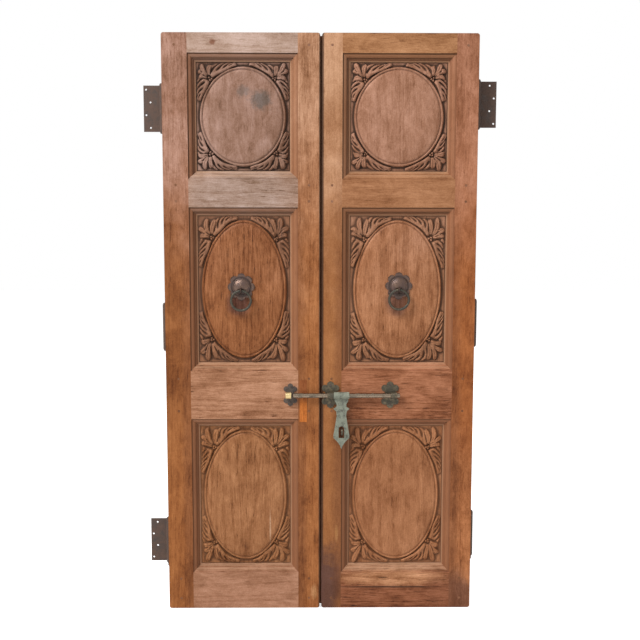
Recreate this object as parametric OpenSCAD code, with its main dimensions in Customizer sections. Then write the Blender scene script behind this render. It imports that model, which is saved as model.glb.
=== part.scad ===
// Pair of carved panel door leaves with butt hinges, ring knockers and a hasp bolt.
// Front faces -Y, Z is up, X = 0 is the middle of the pair, Z = 0 the foot of the leaves.

/* [Leaves] */
// Height of both leaves
door_height = 2050; // [1900:1:2200]
// Width of the left leaf over its front face
left_leaf_width = 547; // [480:0.5:620]
// Width of the right leaf over its front face
right_leaf_width = 542.5; // [480:0.5:620]
// Thickness of the stiles and rails
leaf_thickness = 44; // [36:1:55]
// Open joint between the two leaves, seen from the front
meeting_gap = 6.5; // [5:0.5:12]
// How far the left leaf's back lip reaches past its front edge
rebate_reach = 12; // [8:0.5:18]
// Play in front of the lip and beyond its end
rebate_play = 4; // [2:0.5:6]
// Eased outer corner of a stile
corner_ease = 7; // [3:0.5:12]

/* [Frame] */
// Hinge edge of the left leaf to the sight line of its panels
left_hinge_sight = 116; // [90:1:140]
// Meeting edge of the left leaf to the sight line
left_meeting_sight = 105; // [80:1:130]
// Meeting edge of the right leaf to the sight line
right_meeting_sight = 99; // [80:1:130]
// Hinge edge of the right leaf to the sight line
right_hinge_sight = 105; // [90:1:140]
// Foot of the door to the lower panel's sill
bottom_sight = 162; // [140:1:200]
// Lower panel's head to the middle panel's sill
lock_sight = 230; // [180:1:260]
// Middle panel's head to the upper panel's sill
second_sight = 154; // [130:1:190]
// Upper panel's head to the top of the door
top_sight = 96; // [80:1:130]

/* [Joinery] */
// Width of the moulding worked on the stiles and rails
moulding_width = 28; // [20:1:36]
// Depth from the front face to the panel's ground
moulding_depth = 22; // [16:0.5:26]
// Depth of the groove that holds a panel
groove_depth = 10; // [6:0.5:14]
// Thickness of a panel's tongue
tongue_thickness = 11.8; // [9:0.1:14]
// Thickness of a tenon
tenon_thickness = 14; // [10:0.5:18]
// Wood left beside a tenon at each end of a rail
tenon_haunch = 14; // [8:1:24]
// Radius of the pegs that pin the tenons
peg_radius = 4.5; // [3:0.5:6]
// Room for a panel to swell at the foot of its groove
tongue_play = 1; // [0.5:0.1:2]
// Clearance on each side of a joint
joint_play = 0.1; // [0.05:0.05:0.3]

/* [Carving] */
// Oval's rim to the sight line at the side
oval_side_margin = 13; // [8:1:24]
// Oval's rim to the sight line at the head and sill
oval_head_margin = 16; // [8:1:24]
// Height of the oval at its middle over the ground
oval_height = 14; // [8:0.5:18]
// Spacing from the oval's rim to the foot of a leaf lobe
lobe_root_gap = 5; // [2:0.5:10]
// Spacing from a lobe's tip to the sight line
lobe_tip_gap = 4; // [2:0.5:10]
// Width of the widest lobe beside the oval
lobe_width = 25; // [15:1:32]
// Reach of the oval's rim and cushion inwards
rim_reach = 34; // [24:1:44]
// Height of a lobe's ridge over the ground
lobe_height = 10; // [5:0.5:14]
// Height of a lobe's edge over the ground
lobe_edge = 3; // [1:0.5:6]

/* [Hinges] */
// Height of a hinge's two plates
plate_height = 160; // [130:1:180]
// Thickness of a hinge plate
plate_thickness = 3.5; // [2.5:0.1:5]
// Hinge axis to the free edge of the jamb plate
plate_reach = 64; // [50:1:75]
// Radius of the knuckles
knuckle_radius = 8; // [6:0.5:10]
// Radius of the hinge pin
pin_radius = 4; // [3:0.1:5]
// Length of the pin's head past the knuckles
pin_head = 7; // [4:0.5:10]
// Hinge axis to the back face of the leaf
axis_behind = 8.5; // [8:0.5:12]
// Radial running clearance on a pin or a rod
run_play = 0.08; // [0.02:0.01:0.1]
// Gap between two knuckles
knuckle_gap = 0.4; // [0.3:0.1:1]
// Radius of the screw holes
screw_radius = 3.25; // [2.5:0.05:4]
// Hinge axis to the near row of screw holes
near_row = 40; // [30:1:46]
// Hinge axis to the far row of screw holes
far_row = 55; // [48:1:60]
// End of a plate to its outer screw holes
hole_margin = 14; // [10:0.5:20]
// Radius of a screw's head
screw_head = 5; // [4:0.5:7]
// Height of a screw's head
screw_rise = 1.6; // [1:0.1:3]
// Length of a screw in the wood
screw_length = 26; // [15:1:35]
// Foot of the door to the middle of the low hinge, left and right
low_hinge = [239, 263];
// Half height of the door to the middle of the mid hinge, left and right
mid_hinge = [3, 18];
// Top of the door down to the middle of the high hinge, left and right
high_hinge = [252, 235];
// Turn of each left jamb plate from its folded place
left_plate_turn = [90, 180, 90];
// Turn of each right jamb plate from its folded place
right_plate_turn = [180, 180, 90];

/* [Bolt] */
// Middle of the lock rail to the bolt's axis
bolt_lift = 1; // [-20:1:20]
// Front face to the bolt's axis
bolt_out = 17; // [14:0.5:24]
// Radius of the bolt's rod
rod_radius = 8.5; // [6:0.1:10]
// Right leaf's meeting edge to the rod's tip over the left leaf
rod_tip = 101.5; // [70:0.5:102]
// Right leaf's meeting edge to the rod's other end
rod_end = 278.5; // [255:0.5:300]
// Outer radius of the guides, the keeper's tube and the hasp's barrel
guide_radius = 12.5; // [11:0.1:15]
// Thickness of the lobed plates
lobe_plate = 3; // [2:0.5:5]
// Half the width and height of a guide's plate
guide_plate_half = [31, 48];
// Half the width and height of the keeper's plate
keeper_plate_half = [24, 42];
// Radius of the bead at each end of a loop
bead = 1.6; // [1:0.1:2.5]
// Radius of a nail
nail_radius = 2; // [1.5:0.1:3]
// Radius of a nail's head
nail_head = 4; // [3:0.1:5]
// Height of a nail's head
nail_rise = 1.4; // [0.8:0.1:2.5]
// Length of a nail in the wood
nail_length = 16; // [10:1:20]
// Chamfer on the ends of the rod
rod_chamfer = 1.5; // [0.5:0.1:3]
// Left leaf's meeting edge to the middle of the keeper's plate
keeper_reach = 105; // [95:0.5:115]
// Length of the keeper's tube
keeper_length = 20; // [14:1:30]
// Left leaf's meeting edge to the middle of the keeper's tube
keeper_tube_reach = 111.5; // [108:0.5:125]
// Right leaf's meeting edge to the middle of the first guide's plate
guide_reach = 31.5; // [25:0.5:40]
// Right leaf's meeting edge to the middle of the second guide's plate
end_guide_reach = 244.5; // [230:0.5:265]
// Right leaf's meeting edge to the middle of the second guide's loop
end_loop_reach = 256.5; // [240:0.5:270]
// Length of a guide's loop
loop_length = 22; // [16:1:30]
// Right leaf's meeting edge to the middle of the hasp
hasp_reach = 70.5; // [55:0.5:85]
// Length of the hasp's barrel
barrel_length = 55; // [40:1:58]
// Bolt's axis to the tip of the hasp
hasp_drop = 194; // [160:1:210]
// Thickness of the hasp
hasp_thickness = 4; // [3:0.5:6]
// Half the width of the hasp
hasp_half_width = 28.5; // [20:0.5:32]
// Half the width of the hasp's slot
slot_half_width = 10; // [7:0.5:12]
// Bolt's axis to the ends of the hasp's slot
slot_drop = [111, 154];
// Right leaf's meeting edge to the middle of the padlock staple
staple_reach = 72.5; // [65:0.5:80]
// Thickness of the padlock staple
staple_thickness = 6; // [4:0.5:8]
// Radius of the padlock staple's leg
staple_leg_radius = 2.5; // [1.5:0.1:3.5]
// Bolt's axis to the middle of the padlock staple
staple_drop = 132; // [120:1:140]
// Radius of the padlock staple's eye
staple_eye = 11.5; // [9:0.5:14]

/* [Knockers] */
// Middle of the panel to the middle of the left and right rosettes, across
rosette_shift = [-10, 4.25];
// Middle of the panel to the middle of the left and right rosettes, up
rosette_lift = [10, 14];
// Radius over a rosette's petals
rosette_radius = 48; // [42:1:54]
// Radius of the dome on a rosette
dome_radius = 29; // [22:1:34]
// Height of the dome over its plate
dome_height = 11; // [7:0.5:16]
// Radius of the bead round the dome
dome_bead = 2.4; // [1.5:0.1:3.5]
// Radius of the ring to the middle of its bar
ring_radius = 34.5; // [28:0.5:42]
// Radius of the ring's bar
ring_bar = 4.5; // [3:0.5:6]
// Middle of a rosette down to the ring's pivot
ring_drop = 13; // [6:1:20]
// Radius of a rosette's petals
petal_radius = 14.5; // [9:0.5:18]
// Face of the oval to the ring's pivot
eye_out = 19; // [15:0.5:24]
// Play of the ring in its eye
eye_play = 0.6; // [0.4:0.1:1.5]
// Radius of the bar of the eye that carries a ring
eye_bar = 2.8; // [2:0.1:4]
// Worn land inside the eye
eye_land = 0.4; // [0.2:0.1:0.8]

/* [Repair] */
// Left leaf's meeting edge to the far side of the strip let into its stile
repair_reach = 72; // [50:0.5:74]
// Bolt's axis down to the foot of the strip
repair_drop = 99; // [80:1:120]
// Width of the strip
repair_width = 26; // [16:1:40]
// Height of the strip
repair_height = 152; // [110:1:180]
// Depth of the repair strip
repair_depth = 9; // [5:0.5:14]
// How far the repair strip stands proud
repair_proud = 0.8; // [0:0.1:2]

/* [Hidden] */
$fn = 48;

wood = [0.62, 0.42, 0.29];
carved_wood = [0.58, 0.38, 0.25];
pale_wood = [0.78, 0.50, 0.28];
iron = [0.25, 0.20, 0.18];
bronze = [0.45, 0.43, 0.36];
brass = [0.75, 0.62, 0.32];

overcut = 1;
half_width = (left_leaf_width + meeting_gap + right_leaf_width) / 2;
left_meet = left_leaf_width - half_width;
right_meet = half_width - right_leaf_width;
front_out = bolt_out + guide_radius;
back_out = axis_behind + plate_reach;
front_y = front_out - (front_out + leaf_thickness + back_out) / 2;
back_y = front_y + leaf_thickness;
ground_y = front_y + moulding_depth;
field_y = ground_y + joint_play - oval_height;
tenon_y = front_y + (leaf_thickness - tenon_thickness) / 2;
lip_y = front_y + leaf_thickness / 2;
axis_y = back_y + axis_behind;
axis_x = half_width + knuckle_radius;
bolt_y = front_y - bolt_out;
ring_y = field_y - eye_out;
rod_left = right_meet - rod_tip;
rod_right = right_meet + rod_end;
keeper_x = left_meet - keeper_reach;
keeper_tube_x = left_meet - keeper_tube_reach;
guide_x = right_meet + guide_reach;
end_guide_x = right_meet + end_guide_reach;
end_loop_x = right_meet + end_loop_reach;
hasp_x = right_meet + hasp_reach;
staple_x = right_meet + staple_reach;

sight_left = [left_hinge_sight - half_width, right_meet + right_meeting_sight];
sight_right = [left_meet - left_meeting_sight, half_width - right_hinge_sight];
panel_room = door_height - bottom_sight - lock_sight - second_sight - top_sight;
lower_share = 4 / 11;
upper_share = 17 / 64;
lower_head = bottom_sight + lower_share * panel_room;
upper_sill = door_height - top_sight - upper_share * panel_room;
sills = [bottom_sight, lower_head + lock_sight, upper_sill];
heads = [lower_head, upper_sill - second_sight, door_height - top_sight];
rail_feet = concat([0], [for (h = heads) h + moulding_width]);
rail_heads = concat([for (s = sills) s - moulding_width], [door_height]);
bolt_z = (rail_feet[1] + rail_heads[1]) / 2 + bolt_lift;
rosette_x = [for (side = [0, 1]) (sight_left[side] + sight_right[side]) / 2 + rosette_shift[side]];
rosette_z = [for (side = [0, 1]) (sills[1] + heads[1]) / 2 + rosette_lift[side]];
repair_x = [left_meet - repair_reach, left_meet - repair_reach + repair_width];
repair_z = [bolt_z - repair_drop, bolt_z - repair_drop + repair_height];
hinge_z = [for (side = [0, 1])
  [low_hinge[side], door_height / 2 + mid_hinge[side], door_height - high_hinge[side]]];
plate_turn = [left_plate_turn, right_plate_turn];
// 1 where the top hole of a plate is in the far row
hole_lead = [[0, 1, 1], [0, 1, 0]];
// Heights where the three knuckles part
knuckle_cut = plate_height / 6;
// Middle of a plate to its outer and inner screw holes
hole_end = plate_height / 2 - hole_margin;
hole_mid = hole_end / 3;
knuckle_clear = knuckle_radius + 2 * knuckle_gap;
leaf_plate_reach = axis_behind + leaf_thickness - plate_thickness;
leaf_rows = [axis_behind + leaf_thickness / 4, axis_behind + leaf_thickness * 2 / 3];
sphere_radius = (dome_radius * dome_radius + dome_height * dome_height) / (2 * dome_height);
eye_radius = ring_bar + eye_play + eye_bar;
oval_steps = 36;
petals = 8;

// Moulding section: share of the width from the sight line, share of the depth from the front
moulding_shares = [[1, 0.16], [0.8, 0.18], [0.62, 0.26], [0.49, 0.4], [0.44, 0.56], [0.3, 0.6],
  [0.28, 0.72], [0.1, 0.88], [0, 0.9]];
// Oval section: share of the rim's reach inwards, share of the oval's height
oval_shares = [[0, 0], [0.06, 0.64], [0.2, 0.64], [0.28, 0.3], [0.4, 0.34], [0.55, 0.74], [1.8, 1]];
// Outline of a leaf lobe: share of its length, share of its width
lobe_shares = [[0, 0], [0.4, 0.42], [0.78, 0.46], [1, 0], [0.78, -0.46], [0.4, -0.42]];
// Ridge of a leaf lobe, in the same shares
ridge_shares = [[0.1, 0], [0.66, 0.08], [0.66, -0.08]];
// Leaf lobes beside the oval: angle of the foot, lean of the tip, share of the lobe width and of the way out
spray_shares = [[9, -5, 0.66, 0.82], [17, -6, 0.8, 0.92], [26, -7, 0.94, 1], [36, -7, 1.05, 1]];
// Widest lobe beside the oval: share of the room from its foot to the sight line
lobe_room_share = 1.1;
// Corner lobes: share of the way from the oval to the corner across and up, share of the lobe width
corner_shares = [[0.98, 0.5, 1], [0.95, 0.95, 1.1], [0.5, 0.98, 1]];
// Hasp outline: share of the half width, share of the drop from the bolt's axis
hasp_shares = [[0.85, 0.02], [0.85, 0.1], [0.6, 0.16], [0.62, 0.21], [1, 0.245], [0.66, 0.29], [0.6, 0.38],
  [0.7, 0.48], [0.82, 0.6], [1, 0.74], [0.98, 0.79], [0.5, 0.86], [0.18, 0.93], [0, 1]];
// Lobed plate: share of the half width, share of the half height, radius as a share of the half width
plate_lobe_shares = [[0, 0.74, 0.4], [0.62, 0.5, 0.38], [0.62, -0.5, 0.38], [-0.62, -0.5, 0.38],
  [-0.62, 0.5, 0.38], [0, -0.74, 0.4], [0, 0.3, 0.62], [0, -0.3, 0.62]];
nail_share = 0.74;
peg_share = 0.1;

nail_places = [
  [for (end = [-1, 1]) [keeper_x, bolt_z + end * nail_share * keeper_plate_half[1]]],
  [for (x = [guide_x, end_guide_x]) for (end = [-1, 1])
    [x, bolt_z + end * nail_share * guide_plate_half[1]]]];

function hinge_span(side) = side == 0
  ? [-half_width, sight_left[0] - moulding_width]
  : [sight_right[1] + moulding_width, half_width];
function meeting_span(side) = side == 0
  ? [sight_right[0] + moulding_width, left_meet]
  : [right_meet, sight_left[1] - moulding_width];
function strip_points(way) = let (root = -way * (moulding_width + overcut)) concat(
  [[root, front_y + moulding_shares[0][1] * moulding_depth]],
  [for (p = moulding_shares) [-way * p[0] * moulding_width, front_y + p[1] * moulding_depth]],
  [[0, back_y], [root, back_y]]);
function tenon_foot(n) = rail_feet[n] + (n == 0 ? 2 : 1) * tenon_haunch;
function tenon_head(n) = rail_heads[n] - (n == 3 ? 2 : 1) * tenon_haunch;
function peg_rows(n) = let (f = tenon_foot(n), h = tenon_head(n))
  n == 3 ? [(f + h) / 2] : [f + peg_share * (h - f), h - peg_share * (h - f)];
function hole_places(lead) = [[hole_end, lead], [hole_mid, 1 - lead], [-hole_mid, lead],
  [-hole_end, 1 - lead]];
function oval_point(a, b, i, h) = [a * cos(i * 360 / oval_steps), b * sin(i * 360 / oval_steps), h];

// Box from the spans along X, Y and Z
module span_box(x, y, z) {
  translate([x[0], y[0], z[0]])
    cube([x[1] - x[0], y[1] - y[0], z[1] - z[0]]);
}

// A flat shape in X and Z, with a thickness from the given Y towards the front
module on_face(y, thickness) {
  translate([0, y, 0])
    rotate([90, 0, 0])
      linear_extrude(height = thickness)
        children();
}

// A round bar along Y
module bar_y(x, z, y, r) {
  translate([x, y[1], z])
    rotate([90, 0, 0])
      cylinder(h = y[1] - y[0], r = r);
}

// A round bar along X
module bar_x(x, y, z, r) {
  translate([x[0], y, z])
    rotate([0, 90, 0])
      cylinder(h = x[1] - x[0], r = r);
}

// Moulding on a stile beside panel n, mitred at both ends; way is 1 when the panel lies to the right
module stile_strip(side, n, way) {
  sight = way > 0 ? sight_left[side] : sight_right[side];
  outer = sight - way * moulding_width;
  foot = sills[n] - moulding_width;
  head = heads[n] + moulding_width;
  intersection() {
    translate([sight, 0, foot])
      linear_extrude(height = head - foot)
        polygon(strip_points(way));
    on_face(back_y + overcut, leaf_thickness + 2 * overcut)
      polygon([[outer - way * overcut, foot - overcut], [sight + way * overcut, sills[n] + overcut],
        [sight + way * overcut, heads[n] - overcut], [outer - way * overcut, head + overcut]]);
  }
}

// Moulding on a rail beside panel n, mitred at both ends; way is 1 when the panel lies above
module rail_strip(side, n, way) {
  sight = way > 0 ? sills[n] : heads[n];
  outer = sight - way * moulding_width;
  near = sight_left[side] - moulding_width;
  far = sight_right[side] + moulding_width;
  intersection() {
    translate([near, 0, sight])
      rotate([90, 0, 90])
        linear_extrude(height = far - near)
          polygon([for (p = strip_points(way)) [p[1], p[0]]]);
    on_face(back_y + overcut, leaf_thickness + 2 * overcut)
      polygon([[near - overcut, outer - way * overcut], [sight_left[side] + overcut, sight + way * overcut],
        [sight_right[side] - overcut, sight + way * overcut], [far + overcut, outer - way * overcut]]);
  }
}

// Groove round the opening of panel n
module groove(side, n) {
  span_box([sight_left[side] - groove_depth, sight_right[side] + groove_depth],
    [ground_y, ground_y + tongue_thickness + 2 * joint_play],
    [sills[n] - groove_depth, heads[n] + groove_depth]);
}

// Tenon of rail n over a span, or its mortise when there is play
module tenon(span, n, play) {
  span_box(span, [tenon_y - play, tenon_y + tenon_thickness + play],
    [tenon_foot(n) - play, tenon_head(n) + play]);
}

// Pegs through the tenons in one stile, or their holes when there is play
module peg_row(span, play) {
  cut = play > 0 ? overcut : 0;
  for (n = [0 : 3])
    for (z = peg_rows(n))
      bar_y((span[0] + span[1]) / 2, z, [front_y - cut, tenon_y + tenon_thickness + peg_radius],
        peg_radius + play);
}

// Stile body with eased corners on its free edge; way is 1 when that edge is on the left
module stile_body(span, way) {
  free = way > 0 ? span[0] : span[1];
  held = way > 0 ? span[1] : span[0];
  near = free + way * corner_ease / 3;
  far = free + way * corner_ease;
  on_face(back_y, leaf_thickness)
    polygon([[free, corner_ease], [near, corner_ease / 3], [far, 0], [held, 0], [held, door_height],
      [far, door_height], [near, door_height - corner_ease / 3], [free, door_height - corner_ease]]);
}

// Stile with its mouldings, mortises, grooves and peg holes; way is 1 when the panels lie to the right
module stile(side, span, way) {
  difference() {
    union() {
      stile_body(span, way);
      for (n = [0 : 2])
        stile_strip(side, n, way);
    }
    for (n = [0 : 3])
      tenon([span[0] - overcut, span[1] + overcut], n, joint_play);
    for (n = [0 : 2])
      groove(side, n);
    peg_row(span, joint_play / 2);
  }
}

module hinge_stile(side) {
  difference() {
    stile(side, hinge_span(side), 1 - 2 * side);
    hinge_screws(side, joint_play / 2);
  }
}

// Space behind the right leaf's front half for the left leaf's lip
module rebate_cut() {
  span_box([right_meet - overcut, left_meet + rebate_reach + rebate_play],
    [lip_y - rebate_play / 2, back_y + overcut], [-overcut, door_height + overcut]);
}

module left_meeting() {
  difference() {
    union() {
      stile(0, meeting_span(0), -1);
      span_box([left_meet - overcut, left_meet + rebate_reach], [lip_y, back_y],
        [corner_ease, door_height - corner_ease]);
    }
    for (n = [0 : 3])
      tenon([meeting_span(0)[0] - overcut, left_meet + joint_play], n, joint_play);
    span_box(repair_x, [front_y - overcut, front_y + repair_depth], repair_z);
  }
}

module right_meeting() {
  difference() {
    stile(1, meeting_span(1), 1);
    rebate_cut();
    staple_leg(joint_play / 2);
    nails(1, joint_play / 2);
  }
}

// Rail n with its tenons and mouldings
module rail(side, n) {
  near = sight_left[side] - moulding_width;
  far = sight_right[side] + moulding_width;
  ends = side == 0 ? [-half_width, left_meet] : [right_meet, half_width];
  difference() {
    union() {
      span_box([near, far], [front_y, back_y], [rail_feet[n], rail_heads[n]]);
      tenon(ends, n, 0);
      if (n < 3)
        rail_strip(side, n, 1);
      if (n > 0)
        rail_strip(side, n - 1, -1);
    }
    if (n < 3)
      groove(side, n);
    if (n > 0)
      groove(side, n - 1);
    peg_row(hinge_span(side), joint_play / 2);
    peg_row(meeting_span(side), joint_play / 2);
    if (side == 1)
      rebate_cut();
    if (n == 1)
      nails(side, joint_play / 2);
  }
}

// Raised oval: a rim, a groove and a cushioned field with a flat middle
module oval(a, b) {
  n = oval_steps;
  rings = len(oval_shares);
  points = concat([for (i = [0 : n - 1]) oval_point(a, b, i, -overcut)],
    [for (p = oval_shares) for (i = [0 : n - 1])
      oval_point(a - p[0] * rim_reach, b - p[0] * rim_reach, i, p[1] * oval_height)]);
  sides = [for (r = [0 : rings - 1]) for (i = [0 : n - 1])
    [r * n + i, (r + 1) * n + i, (r + 1) * n + (i + 1) % n, r * n + (i + 1) % n]];
  foot = [for (i = [0 : n - 1]) i];
  top = [for (i = [n - 1 : -1 : 0]) rings * n + i];
  polyhedron(points = points, faces = concat([foot], sides, [top]));
}

// One carved leaf lobe from its foot to its tip
module lobe(foot, tip, width) {
  d = tip - foot;
  reach = norm(d);
  translate([foot[0], foot[1], -overcut])
    rotate([0, 0, atan2(d[1], d[0])])
      hull() {
        linear_extrude(height = lobe_edge + overcut)
          polygon([for (p = lobe_shares) [p[0] * reach, p[1] * width]]);
        linear_extrude(height = lobe_height + overcut)
          polygon([for (p = ridge_shares) [p[0] * reach, p[1] * width]]);
      }
}

// Leaves in the upper right corner of a panel with half sizes w and h and an oval of a by b
module spandrel(w, h, a, b) {
  side_end = w - lobe_tip_gap;
  head_end = h - lobe_tip_gap;
  for (s = spray_shares) {
    side_foot = [(a + lobe_root_gap) * cos(s[0]), (b + lobe_root_gap) * sin(s[0])];
    side_tip = [side_foot[0] + s[3] * (side_end - side_foot[0]), b * sin(s[0] + s[1])];
    lobe(side_foot, side_tip, min(s[2] * lobe_width, lobe_room_share * (w - side_foot[0])));
    head_foot = [(a + lobe_root_gap) * sin(s[0]), (b + lobe_root_gap) * cos(s[0])];
    head_tip = [a * sin(s[0] + s[1]), head_foot[1] + s[3] * (head_end - head_foot[1])];
    lobe(head_foot, head_tip, min(s[2] * lobe_width, lobe_room_share * (h - head_foot[1])));
  }
  bud = [(a + lobe_root_gap) * cos(45), (b + lobe_root_gap) * sin(45)];
  for (s = corner_shares)
    lobe(bud, [bud[0] + s[0] * (side_end - bud[0]), bud[1] + s[1] * (head_end - bud[1])], s[2] * lobe_width);
}

// Panel n: a board in the groove, the raised oval and leaves in the four corners
module panel(side, n) {
  w = (sight_right[side] - sight_left[side]) / 2;
  h = (heads[n] - sills[n]) / 2;
  edge = groove_depth - tongue_play;
  translate([sight_left[side] + w, ground_y + joint_play, sills[n] + h])
    rotate([90, 0, 0])
      union() {
        translate([-w - edge, -h - edge, -tongue_thickness])
          cube([2 * (w + edge), 2 * (h + edge), tongue_thickness]);
        oval(w - oval_side_margin, h - oval_head_margin);
        for (qx = [0, 1])
          for (qz = [0, 1])
            mirror([qx, 0, 0])
              mirror([0, qz, 0])
                spandrel(w, h, w - oval_side_margin, h - oval_head_margin);
      }
}

module pegs(side) {
  peg_row(hinge_span(side), 0);
  peg_row(meeting_span(side), 0);
}

module repair() {
  span_box([repair_x[0] + joint_play, repair_x[1] - joint_play],
    [front_y - repair_proud, front_y + repair_depth],
    [repair_z[0] + joint_play, repair_z[1] - joint_play]);
}

// Places its child at hinge n, drawn for the left side with its axis on Z
module at_hinge(side, n) {
  mirror([side, 0, 0])
    translate([-axis_x, axis_y, hinge_z[side][n]])
      children();
}

// Knuckle and the root of its plate over a span of heights; way is 1 for a plate on the right
module knuckle(z, way) {
  inner = way * (knuckle_radius - plate_thickness);
  outer = way * knuckle_radius;
  translate([0, 0, z[0]])
    cylinder(h = z[1] - z[0], r = knuckle_radius);
  span_box([min(inner, outer), max(inner, outer)], [-knuckle_clear - overcut, 0], z);
}

module pin_bore() {
  translate([0, 0, -plate_height])
    cylinder(h = 2 * plate_height, r = pin_radius + run_play);
}

// Jamb plate: the top and bottom knuckles and a plate with zig-zag holes, turned from its folded place
module jamb_plate(side, n) {
  at_hinge(side, n)
    rotate([0, 0, -plate_turn[side][n]])
      difference() {
        union() {
          knuckle([-plate_height / 2, -knuckle_cut - knuckle_gap], -1);
          knuckle([knuckle_cut + knuckle_gap, plate_height / 2], -1);
          span_box([-knuckle_radius, plate_thickness - knuckle_radius], [-plate_reach, -knuckle_clear],
            [-plate_height / 2, plate_height / 2]);
        }
        pin_bore();
        for (p = hole_places(hole_lead[side][n]))
          bar_x([-2 * knuckle_radius, 0], p[1] > 0 ? -far_row : -near_row, p[0], screw_radius);
      }
}

// Leaf plate: the middle knuckle and a plate on the leaf's edge
module leaf_plate(side, n) {
  at_hinge(side, n)
    difference() {
      union() {
        knuckle([-knuckle_cut, knuckle_cut], 1);
        span_box([knuckle_radius - plate_thickness, knuckle_radius], [-leaf_plate_reach, -knuckle_clear],
          [-plate_height / 2, plate_height / 2]);
      }
      pin_bore();
      for (p = hole_places(hole_lead[side][n]))
        bar_x([0, 2 * knuckle_radius], -leaf_rows[p[1]], p[0], screw_radius);
    }
}

module pins(side) {
  for (n = [0 : 2])
    at_hinge(side, n) {
      translate([0, 0, -plate_height / 2])
        cylinder(h = plate_height, r = pin_radius);
      for (up = [0, 1])
        mirror([0, 0, up])
          translate([0, 0, plate_height / 2]) {
            cylinder(h = pin_head / 2, r = pin_head);
            translate([0, 0, pin_head / 2])
              cylinder(h = pin_head / 2, r1 = pin_head, r2 = pin_radius);
          }
    }
}

// Screws of the leaf plates, or their holes in the wood when there is play
module hinge_screws(side, play) {
  face = knuckle_radius - plate_thickness;
  for (n = [0 : 2])
    at_hinge(side, n)
      for (p = hole_places(hole_lead[side][n])) {
        bar_x([face, knuckle_radius + screw_length], -leaf_rows[p[1]], p[0],
          screw_radius - joint_play + play);
        bar_x([face - screw_rise, face], -leaf_rows[p[1]], p[0], screw_head);
      }
}

// Lobed plate on the front face
module lobed_plate(x, half) {
  for (p = plate_lobe_shares)
    bar_y(x + p[0] * half[0], bolt_z + p[1] * half[1], [front_y - lobe_plate, front_y], p[2] * half[0]);
}

// Nails of the lobed plates, or their holes when there is play; side 0 holds the keeper, side 1 the guides
module nails(side, play) {
  head_y = front_y - lobe_plate;
  for (p = nail_places[side]) {
    bar_y(p[0], p[1], [head_y - nail_rise, front_y + nail_length], nail_radius + play);
    bar_y(p[0], p[1], [head_y - nail_rise, head_y], nail_head);
  }
}

// Loop round the bolt with a foot on its plate and a bead at each end
module loop(x, length) {
  difference() {
    union() {
      bar_x([x - length / 2, x + length / 2], bolt_y, bolt_z, guide_radius - bead / 2);
      for (end = [-1, 1])
        translate([x + end * (length / 2 - bead), bolt_y, bolt_z])
          rotate([0, 90, 0])
            rotate_extrude()
              translate([guide_radius - bead, 0])
                circle(r = bead);
      span_box([x - length / 2 + 2 * bead, x + length / 2 - 2 * bead], [bolt_y, front_y - lobe_plate],
        [bolt_z - guide_radius + 2 * bead, bolt_z + guide_radius - 2 * bead]);
    }
    bar_x([x - length, x + length], bolt_y, bolt_z, rod_radius + run_play);
  }
}

module keeper() {
  difference() {
    lobed_plate(keeper_x, keeper_plate_half);
    nails(0, joint_play / 2);
  }
}

module guide(x, loop_x) {
  difference() {
    union() {
      lobed_plate(x, guide_plate_half);
      loop(loop_x, loop_length);
    }
    nails(1, joint_play / 2);
  }
}

module rod() {
  bar_x([rod_left + rod_chamfer, rod_right - rod_chamfer], bolt_y, bolt_z, rod_radius);
  for (end = [[rod_left + rod_chamfer, -90], [rod_right - rod_chamfer, 90]])
    translate([end[0], bolt_y, bolt_z])
      rotate([0, end[1], 0])
        cylinder(h = rod_chamfer, r1 = rod_radius, r2 = rod_radius - rod_chamfer);
}

module hasp_body() {
  difference() {
    union() {
      bar_x([hasp_x - barrel_length / 2, hasp_x + barrel_length / 2], bolt_y, bolt_z, guide_radius);
      on_face(bolt_y + hasp_thickness / 2, hasp_thickness)
        polygon(concat(
          [for (p = hasp_shares) [hasp_x + p[0] * hasp_half_width, bolt_z - p[1] * hasp_drop]],
          [for (i = [len(hasp_shares) - 2 : -1 : 0])
            [hasp_x - hasp_shares[i][0] * hasp_half_width, bolt_z - hasp_shares[i][1] * hasp_drop]]));
    }
    bar_x([hasp_x - barrel_length, hasp_x + barrel_length], bolt_y, bolt_z, rod_radius + run_play);
    span_box([hasp_x - slot_half_width, hasp_x + slot_half_width],
      [bolt_y - hasp_thickness, bolt_y + hasp_thickness],
      [bolt_z - slot_drop[1], bolt_z - slot_drop[0] - slot_half_width]);
    bar_y(hasp_x, bolt_z - slot_drop[0] - slot_half_width, [bolt_y - hasp_thickness, bolt_y + hasp_thickness],
      slot_half_width);
  }
}

// Foot of the padlock staple, or its hole in the wood when there is play
module staple_leg(play) {
  bar_y(staple_x, bolt_z - staple_drop, [bolt_y, ground_y - play], staple_leg_radius + play);
}

module staple() {
  difference() {
    union() {
      bar_x([staple_x - staple_thickness / 2, staple_x + staple_thickness / 2], bolt_y, bolt_z - staple_drop,
        staple_eye);
      bar_y(staple_x, bolt_z - staple_drop, [bolt_y + staple_eye - overcut, ground_y - joint_play],
        staple_leg_radius);
    }
    bar_x([staple_x - staple_thickness, staple_x + staple_thickness], bolt_y, bolt_z - staple_drop,
      staple_eye / 2);
  }
}

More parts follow.
